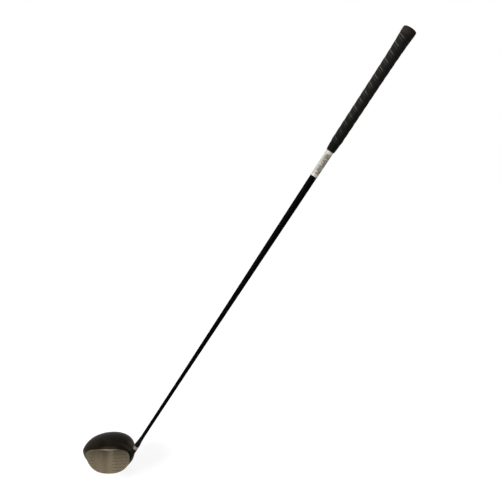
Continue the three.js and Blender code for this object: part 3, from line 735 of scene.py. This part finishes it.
weight = {
    "x": -30, "y": 58, "tilt": 24, "radius": 7, "height": 5, "recess": 0.8, "rimRound": 0.5,
    "footRound": 0.3, "ringFromRim": 1.2, "ringWidth": 0.4, "ringDepth": 0.3, "ringRound": 0.1,
    "stubRadius": 3.2, "stubLength": 5, "rootRound": 0.2, "tipRound": 0.5, "sealHeight": 0.8,
    "bossWall": 2.2, "bossHeight": 14, "socketAcross": 4, "socketDepth": 2.6,
}
ontoWeight = (Matrix.Translation((weight["x"], weight["y"], sectionAt(weight["y"], 0)["bottom"]))
              @ Matrix.Rotation(math.radians(weight["tilt"]), 4, "X"))
badge = {"x": -34, "y": 30, "length": 44, "width": 17, "inset": 0.3, "thickness": 0.7, "arcSteps": 24}
ribs = {"thickness": 1.2, "height": 5, "ys": (14, 46), "columns": 96, "rows": 40}


def weightPort():
    wide = weight["radius"] + slideGap
    narrow = weight["stubRadius"] + slideGap
    depth = weight["recess"] + weight["height"] + weight["sealHeight"] + seatGap + slideGap
    end = depth + weight["stubLength"]
    low = -wide - overrun
    corners = [(0, low), (wide, low), (wide, depth), (narrow, depth), (narrow, end), (0, end)]
    return moved(turned("weightPort", corners), ontoWeight)


def badgePrism(name, grow):
    # an upright bar with round ends
    half = badge["width"] / 2 + grow
    run = (badge["length"] - badge["width"]) / 2
    outline = []
    for end, start in ((run, -math.pi / 2), (-run, math.pi / 2)):
        for step in range(badge["arcSteps"] + 1):
            turn = start + math.pi * step / badge["arcSteps"]
            outline.append((badge["x"] + end + half * math.cos(turn), badge["y"] + half * math.sin(turn)))
    heights = (-overrun, head["tailWaist"])
    bottom, top = [[(badge["x"], badge["y"], z)] for z in heights]
    return skinned(name, [bottom, *[[(x, y, z) for x, y in outline] for z in heights], top])


plateBack = face["thickness"] + seatGap


def hollow():
    # the room inside the head's wall
    return headBlock("hollow", head["wall"], face["thickness"] / 2, head["hollowColumns"], head["hollowRows"])


def makeCrown():
    piece = combined(headBlock("crown", 0, plateBack), hollow())
    combined(piece, underSeam(seatGap))
    combined(piece, hoselBlock("hoselRoom", seatGap))
    # nothing of it stands in front of the shaft's axis on the heel's side
    reach = 2 * head["tailY"]
    corner = boxed("heelCorner", (reach, reach, reach), (reach / 2, -reach / 2, 0))
    return combined(piece, moved(corner, ontoShaft))


def makeBody():
    # what is kept of the inside: the hosel, the weight's boss and two ribs
    inner = combined(hollow(), hoselBlock("hoselKept", 0))
    bossRadius = weight["radius"] + slideGap + weight["bossWall"]
    combined(inner, moved(rod("boss", bossRadius, -weight["radius"], weight["bossHeight"]), ontoWeight))
    reach = 4 * head["tailY"]
    for y in ribs["ys"]:
        slab = boxed("rib", (reach, ribs["thickness"], reach), (0, y, 0))
        inside = headBlock("insideRibs", head["wall"] + ribs["height"], 0, ribs["columns"], ribs["rows"])
        combined(inner, combined(slab, inside))
    piece = combined(headBlock("body", 0, plateBack), inner)
    combined(piece, underSeam(), "INTERSECT")
    upper = combined(hoselBlock("upperHosel", -hosel["joinInset"]), halfSpace("low", hosel["joinHeight"]))
    combined(upper, faceSlice("frontCut", -seatGap, -head["tailWaist"], plateBack))
    combined(piece, upper, "UNION")
    combined(piece, halfSpace("ground", 0))
    bores = ((sleeve["radius"] + slideGap, hosel["shelfTop"], hosel["top"] + overrun),
             (hosel["portRadius"], -overrun, hosel["shelfBottom"]),
             (hosel["shelfHole"], 0, hosel["shelfTop"] + overrun))
    for tool in (*[rod("bore", *sizes) for sizes in bores], *lugBlocks(slideGap)):
        combined(piece, moved(tool, ontoShaft))
    combined(piece, weightPort())
    depth = badge["inset"] + badge["thickness"] + slideGap
    return combined(piece, combined(badgePrism("pocket", slideGap), headBlock("pocketFloor", depth)))


def makeBadge():
    piece = combined(badgePrism("badge", 0), headBlock("badgeSkin", badge["inset"]), "INTERSECT")
    combined(piece, headBlock("badgeFloor", badge["inset"] + badge["thickness"]))
    return combined(piece, halfSpace("ground", 0))


def endGeometry(tree, geometry, material):
    # the tree's result is real geometry with its material
    real = valueOf(tree, "GeometryNodeRealizeInstances", {"Geometry": geometry})
    painted = valueOf(tree, "GeometryNodeSetMaterial", {"Geometry": real, "Material": material})
    return closeGroup(tree, painted)


def shaped(piece, tree, sizes):
    # the tree's named inputs are set, and its result becomes plain mesh
    modifier = piece.modifiers.new("shaped", "NODES")
    modifier.node_group = tree
    for item in tree.interface.items_tree:
        if item.name in sizes:
            modifier[item.identifier] = float(sizes[item.name])
    return applied(piece)


def scoreLineTree(material):
    # a bar on each point, as long as the point says
    labels = ("Geometry", "Width", "Reach")
    tree, (points, width, reach) = newGroup("scoreLines", "GeometryNodeTree", labels, "Geometry")
    size = valueOf(tree, "ShaderNodeCombineXYZ", {"X": 1.0, "Y": reach, "Z": width})
    bar = valueOf(tree, "GeometryNodeMeshCube", {"Size": size}, "Mesh")
    length = valueOf(tree, "GeometryNodeInputNamedAttribute", {"Name": "length"}, data_type="FLOAT")
    scale = valueOf(tree, "ShaderNodeCombineXYZ", {"X": length, "Y": 1.0, "Z": 1.0})
    bars = valueOf(tree, "GeometryNodeInstanceOnPoints", {"Points": points, "Instance": bar, "Scale": scale})
    return endGeometry(tree, bars, material)


def scoreLines(material):
    # rows of lines towards the toe and the heel, each as long as the face is wide there
    mesh = bmesh.new()
    lengths = []
    for row in range(face["scoreRows"]):
        z = face["scoreLowest"] + row * face["scorePitch"]
        y = faceAt(face["x"], z)
        section = sectionAt(y, face["edgeMargin"])
        for side, sign, inner in (("toe", -1, face["toeStart"]), ("heel", 1, face["heelStart"])):
            reach, waist, upper, lower = section[side]
            low = z < waist
            rise = abs(z - waist) / (waist - section["bottom"] if low else section["top"] - waist)
            power = lower if low else upper
            length = reach * (1 - rise ** power) ** (1 / power) - inner
            if length >= face["shortest"]:
                mesh.verts.new((face["x"] + sign * (inner + length / 2), y, z))
                lengths.append(length)
    points = objectFrom("scoreLines", mesh)
    points.data.attributes.new("length", "FLOAT", "POINT").data.foreach_set("value", lengths)
    return shaped(points, scoreLineTree(material), {"Width": face["scoreWidth"], "Reach": face["scoreReach"]})


def makeFacePlate(finishes):
    # metal in front, an edge, the crown's and the body's colours behind the edge, paint in the score lines
    piece = faceSlice("facePlate", 0, 0, face["thickness"], face["edgeRound"])
    piece.data.materials.append(finishes["metal"])
    combined(piece, halfSpace("ground", 0))
    lines = scoreLines(finishes["paint"])
    combined(lines, faceSlice("scoreRoom", 0, -overrun, face["scoreDepth"]), "INTERSECT")
    combined(piece, lines)
    kinds = []
    for polygon in piece.data.polygons:
        at = polygon.center
        if polygon.material_index:
            kinds.append("paint")
        elif at.y - faceAt(at.x, at.z) > face["rimDepth"]:
            kinds.append("crown" if at.z > head["seamHeight"] else "body")
        else:
            kinds.append("edge" if abs(polygon.normal.y) < face["edgeLooksOut"] else "metal")
    piece.data.materials.clear()
    for material in finishes.values():
        piece.data.materials.append(material)
    names = list(finishes)
    piece.data.polygons.foreach_set("material_index", [names.index(kind) for kind in kinds])
    return piece


crownFinish = makeCrownFinish()
bodyFinish = makeBodyFinish()
badgeMetal = makeTurnedMetal("badgeMetal", tone(120, 119, 118), tone(158, 156, 153), 0.4, 700.0)
faceFinishes = {"metal": makeFaceFinish(), "crown": crownFinish, "body": bodyFinish,
                "paint": makeGroovePaint(), "edge": makeFaceEdgeFinish()}
finished(makeCrown(), "head", ["crown_shell"], crownFinish)
finished(makeBody(), "head", ["body_shell"], bodyFinish)
finished(makeBadge(), "head", ["sole_badge"], badgeMetal)
finished(makeFacePlate(faceFinishes), "head", ["face_plate"])


# Screw and rear weight, each with a hexagonal socket

screw = {"bottom": 15.6, "headRadius": 4.5, "headHeight": 4.6, "headRound": 0.6, "shoulderRound": 0.2,
         "shankRadius": 2.45, "rootRound": 0.15, "tip": 36, "tipRound": 0.5}


def socketed(piece, bottom):
    radius = weight["socketAcross"] / math.sqrt(3)
    hexagon = rod("socket", radius, bottom - overrun, bottom + weight["socketDepth"], sides=6)
    return combined(piece, hexagon)


def makeScrew():
    low, top = screw["bottom"], screw["bottom"] + screw["headHeight"]
    piece = turned("hoselScrew", [
        (0, low), (screw["headRadius"], low, screw["headRound"]),
        (screw["headRadius"], top, screw["shoulderRound"]), (screw["shankRadius"], top, screw["rootRound"]),
        (screw["shankRadius"], screw["tip"], screw["tipRound"]), (0, screw["tip"])])
    return moved(socketed(piece, low), ontoShaft)


def makeWeight():
    # a ring is cut round its visible end
    low, top = weight["recess"], weight["recess"] + weight["height"]
    wide = weight["radius"] - slideGap
    outer = wide - weight["ringFromRim"]
    inner = outer - weight["ringWidth"]
    end = top + weight["stubLength"]
    ring = [(radius, height, weight["ringRound"]) for radius, height in (
        (inner, low), (inner, low + weight["ringDepth"]), (outer, low + weight["ringDepth"]), (outer, low))]
    piece = turned("rearWeight", [
        (0, low), *ring, (wide, low, weight["rimRound"]), (wide, top, weight["footRound"]),
        (weight["stubRadius"], top, weight["rootRound"]), (weight["stubRadius"], end, weight["tipRound"]),
        (0, end)])
    return moved(socketed(piece, low), ontoWeight)


steel = makeTurnedMetal("screwSteel", tone(96, 96, 97), tone(134, 133, 132), 0.35)
weightMetal = makeTurnedMetal("weightMetal", tone(66, 66, 68), tone(92, 92, 94), 0.4)
finished(makeScrew(), "hosel_screw", ["hosel_screw"], steel)
finished(makeWeight(), "rear_weight", ["rear_weight"], weightMetal)


# Shaft, its sleeve with the silver collar, the ferrule and the band under the grip

shaft = {
    "tipRadius": 4.15, "mouthRadius": 7.5, "buttRadius": 7.6, "wall": 1.1, "capFloor": 6,
    "taperShares": ((0.054, 0.015), (0.23, 0.09), (0.451, 0.328), (0.657, 0.642), (0.85, 0.896)),
}
ferrule = {"length": 24, "topRadius": 4.6, "shoulder": 4, "footRound": 0.4, "topRound": 0.5,
           "taperPower": 2, "rows": 14}
label = {"length": 58, "thickness": 0.2, "edgeRound": 0.1, "fromGrip": 0.6}
grip = {
    "length": 267, "buttRadius": 13.7, "lowRadius": 10.15, "tape": 0.3,
    "taperShares": ((0.936, 0), (0.91, 0.211), (0.404, 0.38), (0.232, 0.521), (0.142, 0.69), (0.049, 1)),
    "coreMouth": 8.6, "coreButt": 10.9, "coreChamfer": 0.3, "coreBoreRound": 0.1, "lip": 1.2,
    "collarLength": 17, "collarMouth": 7.8, "collarShoulder": 9.75, "shoulderAt": 9,
    "mouthRound": 0.2, "shoulderRound": 3, "collarEdgeRound": 0.4,
    "capLength": 14, "capRadius": 14, "capRound": 2.6, "capDraft": 0.4, "capFootRound": 0.4,
    "capSideRound": 1.2, "ventRadius": 0.9, "ventFlare": 0.5, "ventRound": 0.1,
    "pitch": 16.9, "starts": 2, "seamShift": 16.4, "depth": 0.5, "seamPower": 1.6,
    "lipHeight": 0.12, "lipWidth": 1.8, "lipStart": (0.03, 0.06), "lipEnd": 0.04, "lineFromSeam": 6.6,
    "lineWidth": 0.6, "lineHeight": 0.55, "fade": 4, "sides": 120, "rows": 360,
    "poresAcross": 5.0, "poresRound": 20.0, "poreLean": 0.1, "litTurns": (0.24, 0.34), "leastLit": 0.04,
}
gripMouth = club["length"] - grip["length"]
ferruleBottom = collarTop + seatGap
ferruleTop = ferruleBottom + ferrule["length"]
shaftBottom = sleeve["floor"] + seatGap
shaftTop = club["length"] - shaft["capFloor"] - seatGap
shaftStations = [(shaftBottom, shaft["tipRadius"]), (ferruleTop, shaft["tipRadius"])]
shaftStations += [(mix(ferruleTop, gripMouth, along), mix(shaft["tipRadius"], shaft["mouthRadius"], taper))
                  for along, taper in shaft["taperShares"]]
shaftStations += [(gripMouth, shaft["mouthRadius"]), (shaftTop, shaft["buttRadius"])]
gripStations = [(club["length"] - grip["length"] * along, mix(grip["lowRadius"], grip["buttRadius"], taper))
                for along, taper in grip["taperShares"]]


def radiusOn(stations, at):
    if at <= stations[0][0]:
        return stations[0][1]
    for (low, first), (high, second) in zip(stations, stations[1:]):
        if at <= high:
            return mix(first, second, (at - low) / (high - low))
    return stations[-1][1]


def turnedOnShaft(name, corners):
    return moved(turned(name, corners), ontoShaft)


def makeSleeve():
    bored = radiusOn(shaftStations, shaftBottom) + slideGap
    radius, outer, depth, inset = sleeve["radius"], hosel["radius"], sleeve["lineDepth"], sleeve["lineInset"]
    edgeRound, floorRound = sleeve["lineEdgeRound"], sleeve["lineFloorRound"]
    threadTop = sleeve["bottom"] + sleeve["threadDepth"]
    corners = [(sleeve["threadRadius"], sleeve["bottom"], sleeve["mouthRound"]),
               (radius, sleeve["bottom"], sleeve["bottomRound"]), (radius, collarBottom),
               (outer, collarBottom, sleeve["chamfer"])]
    for low in (collarBottom + inset, collarTop - inset - sleeve["lineWidth"]):
        high = low + sleeve["lineWidth"]
        corners += [(outer, low, edgeRound), (outer - depth, low, floorRound),
                    (outer - depth, high, floorRound), (outer, high, edgeRound)]
    corners += [(outer, collarTop, sleeve["chamfer"]), (bored, collarTop), (bored, sleeve["floor"]),
                (0, sleeve["floor"]), (0, threadTop), (sleeve["threadRadius"], threadTop)]
    piece = turned("shaftSleeve", corners)
    for lug in lugBlocks(0):
        # it reaches a little into the sleeve's side and the collar, so that they join
        moved(lug, Matrix.Translation((0, 0, slideGap / 4)))
        core = rod("core", radius - sleeve["lugRoot"], sleeve["bottom"], collarBottom + overrun)
        combined(piece, combined(lug, core), "UNION")
    return moved(piece, ontoShaft)


def makeFerrule():
    bored = shaft["tipRadius"] + slideGap
    shoulder = ferruleBottom + ferrule["shoulder"]
    corners = [(bored, ferruleBottom), (hosel["radius"], ferruleBottom, ferrule["footRound"])]
    for row in range(ferrule["rows"]):
        share = row / ferrule["rows"]
        taper = 1 - (1 - share) ** ferrule["taperPower"]
        corners.append((mix(hosel["radius"], ferrule["topRadius"], taper), mix(shoulder, ferruleTop, share)))
    corners += [(ferrule["topRadius"], ferruleTop, ferrule["topRound"]), (bored, ferruleTop)]
    return turnedOnShaft("shaftFerrule", corners)


def makeShaft():
    outside = [(radius, at) for at, radius in shaftStations]
    inside = [(radius - shaft["wall"], at) for at, radius in reversed(shaftStations)]
    return turnedOnShaft("shaftTube", outside + inside)


def makeLabel():
    # the band also carries its way round and its length as coordinates, in millimetres
    high = gripMouth - label["fromGrip"]
    low = high - label["length"]
    lowRadius, highRadius = [radiusOn(shaftStations, at) + slideGap / 2 for at in (low, high)]
    piece = turned("shaftLabel", [
        (lowRadius, low), (lowRadius + label["thickness"], low, label["edgeRound"]),
        (highRadius + label["thickness"], high, label["edgeRound"]), (highRadius, high)])
    wrapped = []
    for vertex in piece.data.vertices:
        x, y, at = vertex.co
        wrapped += [(math.atan2(y, x) + math.pi) * shaft["mouthRadius"], at - low, 0]
    piece.data.attributes.new("wrapped", "FLOAT_VECTOR", "POINT").data.foreach_set("vector", wrapped)
    return moved(piece, ontoShaft)


collarMetal = makeTurnedMetal("collarMetal", tone(106, 97, 86), tone(140, 130, 117), 0.32)
finished(makeSleeve(), "shaft_assembly", ["shaft_sleeve"], collarMetal)
finished(makeFerrule(), "shaft_assembly", ["ferrule"], makeFerruleFinish())
finished(makeShaft(), "shaft_assembly", ["shaft"], makeShaftFinish())
finished(makeLabel(), "shaft_assembly", ["shaft_label"], makeLabelFinish())


# Grip: a core, a strip wound round it with raised lips, a collar at its mouth and a cap

wrapLow = gripMouth + grip["collarLength"] + seatGap
wrapHigh = club["length"] - grip["capLength"] - seatGap
capFloorAt = club["length"] - shaft["capFloor"]
woundInputs = ("firstSeam", "low", "high", "pitch", "starts", "depth", "lipHeight", "lipWidth",
               "lineFromSeam", "fade")


def coreRadius(at):
    return mix(grip["coreMouth"], grip["coreButt"], (at - gripMouth) / grip["length"])


def woundTree(material):
    # steps the tube in along the seam between one turn of the strip and the next, and lifts the strip's lip
    tree, given = newGroup("woundStrip", "GeometryNodeTree", ("Geometry", *woundInputs), "Geometry")
    tube, firstSeam, low, high, pitch, starts, depth, lipHeight, lipWidth, lineFromSeam, fade = given
    place = valueOf(tree, "GeometryNodeInputPosition")
    x, y, at = [place.axis(name) for name in "XYZ"]
    turn = calc("ARCTAN2", y, x) / (2 * math.pi)
    run = (at - firstSeam) / pitch
    phase = calc("FRACT", turn * starts + run)
    pillow = abs(calc("SINE", phase * math.pi))
    valley = (1.0 - pillow) ** grip["seamPower"] * depth
    # a raised lip beside the seam, and a fainter raised line farther along towards the mouth
    wide = lipWidth / pitch
    back = 1.0 - phase
    edge = mapped(back, *grip["lipStart"]) * mapped(back, wide, wide + grip["lipEnd"], 1.0, 0.0)
    fromLine = abs(back - lineFromSeam / pitch)
    line = mapped(fromLine, 0.0, wide * grip["lineWidth"], grip["lineHeight"], 0.0)
    lip = calc("MAXIMUM", edge, line)
    # nothing is moved at the strip's ends, which meet the collar and the cap
    inside = calc("MINIMUM", (at - low) / fade, (high - at) / fade)
    change = (lip * lipHeight - valley) * calc("MAXIMUM", calc("MINIMUM", inside, 1.0), 0.0)
    away = valueOf(tree, "ShaderNodeCombineXYZ", {"X": x, "Y": y})
    outward = valueOf(tree, "ShaderNodeVectorMath", {0: away}, operation="NORMALIZE")
    offset = valueOf(tree, "ShaderNodeVectorMath", {0: outward, 3: change}, operation="SCALE")
    shifted = valueOf(tree, "GeometryNodeSetPosition", {"Geometry": tube, "Offset": offset})
    # across the strip and along it, in steps of the pores, and how much painted highlight its lips take, most
    # on the left side
    wearAndHighlight = mapped(abs(turn), *grip["litTurns"], grip["leastLit"], 1.0)
    strip = valueOf(tree, "ShaderNodeCombineXYZ", {
        "X": phase * grip["poresAcross"], "Y": (turn - run * grip["poreLean"]) * grip["poresRound"],
        "Z": lip * wearAndHighlight})
    stored = valueOf(tree, "GeometryNodeStoreNamedAttribute", {
        "Geometry": shifted, "Name": "strip", "Value": strip}, data_type="FLOAT_VECTOR")
    return endGeometry(tree, stored, material)


def makeGripWrap(material):
    stations = [mix(wrapLow, wrapHigh, row / grip["rows"]) for row in range(grip["rows"] + 1)]
    corners = [(0, wrapLow), *[(radiusOn(gripStations, at), at) for at in stations], (0, wrapHigh)]
    sizes = {"firstSeam": wrapLow + grip["seamShift"], "low": wrapLow, "high": wrapHigh}
    sizes.update({name: grip[name] for name in woundInputs if name in grip})
    piece = shaped(turned("gripWrap", corners, grip["sides"]), woundTree(material), sizes)
    low, high = wrapLow - overrun, wrapHigh + overrun
    bored = [(coreRadius(at) + slideGap, at) for at in (low, high)]
    return moved(combined(piece, turned("bore", [(0, low), *bored, (0, high)])), ontoShaft)


def makeGripCore():
    mouthEnd = gripMouth + grip["lip"]
    boreGap = grip["tape"] + 2 * slideGap
    lowBore, highBore = [radiusOn(shaftStations, at) + boreGap for at in (gripMouth, shaftTop)]
    chamfer = grip["coreChamfer"]
    return turnedOnShaft("gripCore", [
        (lowBore, gripMouth, grip["coreBoreRound"]), (coreRadius(gripMouth) - chamfer, gripMouth, chamfer),
        (coreRadius(mouthEnd), mouthEnd, chamfer), (coreRadius(shaftTop), shaftTop), (highBore, shaftTop)])


def makeGripCollar():
    low = gripMouth + grip["lip"] + seatGap
    high = wrapLow - seatGap
    lowBore, highBore = [coreRadius(at) + slideGap for at in (low, high)]
    return turnedOnShaft("gripCollar", [
        (lowBore, low), (grip["collarMouth"] + grip["lip"], low, grip["mouthRound"]),
        (grip["collarShoulder"], gripMouth + grip["shoulderAt"], grip["shoulderRound"]),
        (radiusOn(gripStations, high), high, grip["collarEdgeRound"]), (highBore, high)])


def makeGripCap():
    bottom, top = club["length"] - grip["capLength"], club["length"]
    bored = grip["coreButt"] + slideGap
    radius, vent, flare = grip["capRadius"], grip["ventRadius"], grip["ventFlare"]
    return turnedOnShaft("gripCap", [
        (bored, bottom), (radius - grip["capDraft"], bottom, grip["capFootRound"]),
        (radius, bottom + grip["capRound"], grip["capSideRound"]), (radius, top, grip["capRound"]),
        (vent + flare, top, grip["ventRound"]), (vent, top - flare, grip["ventRound"]),
        (vent, capFloorAt), (bored, capFloorAt)])


coreRubber = makeRubber("gripRubber", tone(22, 21, 18), tone(40, 38, 32))
stripRubber = makeRubber("stripRubber", tone(16, 15, 14), tone(36, 34, 31), 0.14, strip=True)
collarRubber = makeRubber("collarRubber", tone(8, 9, 6), tone(19, 19, 15), 0.04)
capRubber = makeRubber("capRubber", tone(20, 16, 13), tone(40, 34, 28), 0.28)
finished(makeGripCore(), "shaft_assembly", ["grip_core"], coreRubber)
finished(makeGripWrap(stripRubber), "shaft_assembly", ["grip_wrap"], stripRubber, sharp=50)
finished(makeGripCollar(), "shaft_assembly", ["grip_collar"], collarRubber)
finished(makeGripCap(), "shaft_assembly", ["grip_cap"], capRubber)


# Pieces inside keep their solids and get their own finishes

insideFinishes = {
    "screw_washer": ("washerNylon", tone(60, 60, 62), tone(84, 84, 86), 900.0, 0.5),
    "screw_retainer": ("retainerNylon", tone(190, 188, 182), tone(212, 210, 205), 700.0, 0.6),
    "weight_seal": ("sealRubber", tone(20, 20, 20), tone(34, 34, 34), 1200.0, 0.8),
    "tip_plug": ("plugCork", tone(150, 118, 80), tone(186, 152, 108), 500.0, 0.85),
    "grip_tape": ("tapePaper", tone(206, 196, 170), tone(226, 218, 196), 800.0, 0.8, (1.0, 1.0, 0.1)),
}
for node, finish in insideFinishes.items():
    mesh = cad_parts[node].data
    mesh.materials.clear()
    mesh.materials.append(makeInsideFinish(*finish))
print("inside pieces painted")


# Stage: a pale floor as low as the drawn-off head comes, a white surround, soft lamps and the camera

stage = {
    "floorSize": 24.0, "headTravel": 45, "floorTone": 0.8, "floorShade": 0.44, "nearGlow": 0.74,
    "farGlow": 0.88, "glowReach": 4.0, "surround": 0.27,
    "lens": 38.2, "cameraAt": (304.5, -1071, 837), "pitch": 15.57, "nearest": 0.05, "farthest": 60,
}
lamps = {
    "leftLamp": {"at": (-2.1, -2.0, 1.1), "size": 1.6, "power": 88.0},
    "rightLamp": {"at": (2.2, -1.0, 1.0), "size": 1.6, "power": 3.0},
    "topLamp": {"at": (-0.2, 0.8, 2.7), "size": 1.8, "power": 16.0},
}


def seenRays(tree):
    # one where the camera, a reflection or glass looks, nought for light that falls on the object
    rays = addNode(tree, "ShaderNodeLightPath").outputs
    seen = Value(rays["Is Camera Ray"])
    for kind in ("Is Glossy Ray", "Is Transmission Ray"):
        seen = calc("MAXIMUM", seen, Value(rays[kind]))
    return seen


def makeFloor():
    mesh = bmesh.new()
    bmesh.ops.create_grid(mesh, x_segments=1, y_segments=1, size=stage["floorSize"] / 2)
    floor = objectFrom("floor", mesh)
    floor.location = (0, 0, cadBounds[0].z - stage["headTravel"] * math.cos(lean) / 1000)
    material = bpy.data.materials.new("floorPaper")
    material.use_nodes = True
    tree = material.node_tree
    tree.nodes.remove(tree.nodes["Principled BSDF"])
    plain, shade = [valueOf(tree, "ShaderNodeBsdfDiffuse", {"Color": (stage[name],) * 3 + (1,)})
                    for name in ("floorTone", "floorShade")]
    # it glows less round the head, where the shadow falls, than at its far edge
    away = distanceTo(valueOf(tree, "ShaderNodeTexCoord", output="Object"), (groundX, 0, 0))
    share = calc("SQRT", calc("MINIMUM", away / stage["glowReach"], 1.0))
    strength = share * (stage["farGlow"] - stage["nearGlow"]) + stage["nearGlow"]
    glow = valueOf(tree, "ShaderNodeEmission", {"Color": (1, 1, 1, 1), "Strength": strength})
    seen = valueOf(tree, "ShaderNodeAddShader", {0: shade, 1: glow})
    both = valueOf(tree, "ShaderNodeMixShader", {0: seenRays(tree), 1: plain, 2: seen})
    tree.links.new(both.socket, tree.nodes["Material Output"].inputs["Surface"])
    floor.data.materials.append(material)


def makeSurround():
    world = bpy.data.worlds.new("surround")
    bpy.context.scene.world = world
    world.use_nodes = True
    background = world.node_tree.nodes["Background"]
    level = mapped(seenRays(world.node_tree), 0.0, 1.0, stage["surround"], 1.0)
    world.node_tree.links.new(level.socket, background.inputs["Strength"])
    background.inputs["Color"].default_value = (1, 1, 1, 1)


def makeLamps():
    middle = (cadBounds[0] + cadBounds[1]) / 2
    for name, lamp in lamps.items():
        light = bpy.data.lights.new(name, "AREA")
        light.shape = "DISK"
        light.size = lamp["size"]
        light.energy = lamp["power"]
        made = placed(name, light)
        made.location = middle + Vector(lamp["at"])
        made.rotation_euler = (middle - made.location).to_track_quat("-Z", "Y").to_euler()


def makeCamera():
    data = bpy.data.cameras.new("camera")
    data.lens = stage["lens"]
    data.clip_start, data.clip_end = stage["nearest"], stage["farthest"]
    made = placed("camera", data)
    made.location = toRow @ Vector(stage["cameraAt"])
    made.rotation_euler = (math.radians(90 - stage["pitch"]), 0, 0)
    bpy.context.scene.camera = made


makeFloor()
makeSurround()
makeLamps()
makeCamera()
bpy.context.scene.view_settings.view_transform = "Standard"
print("stage set")
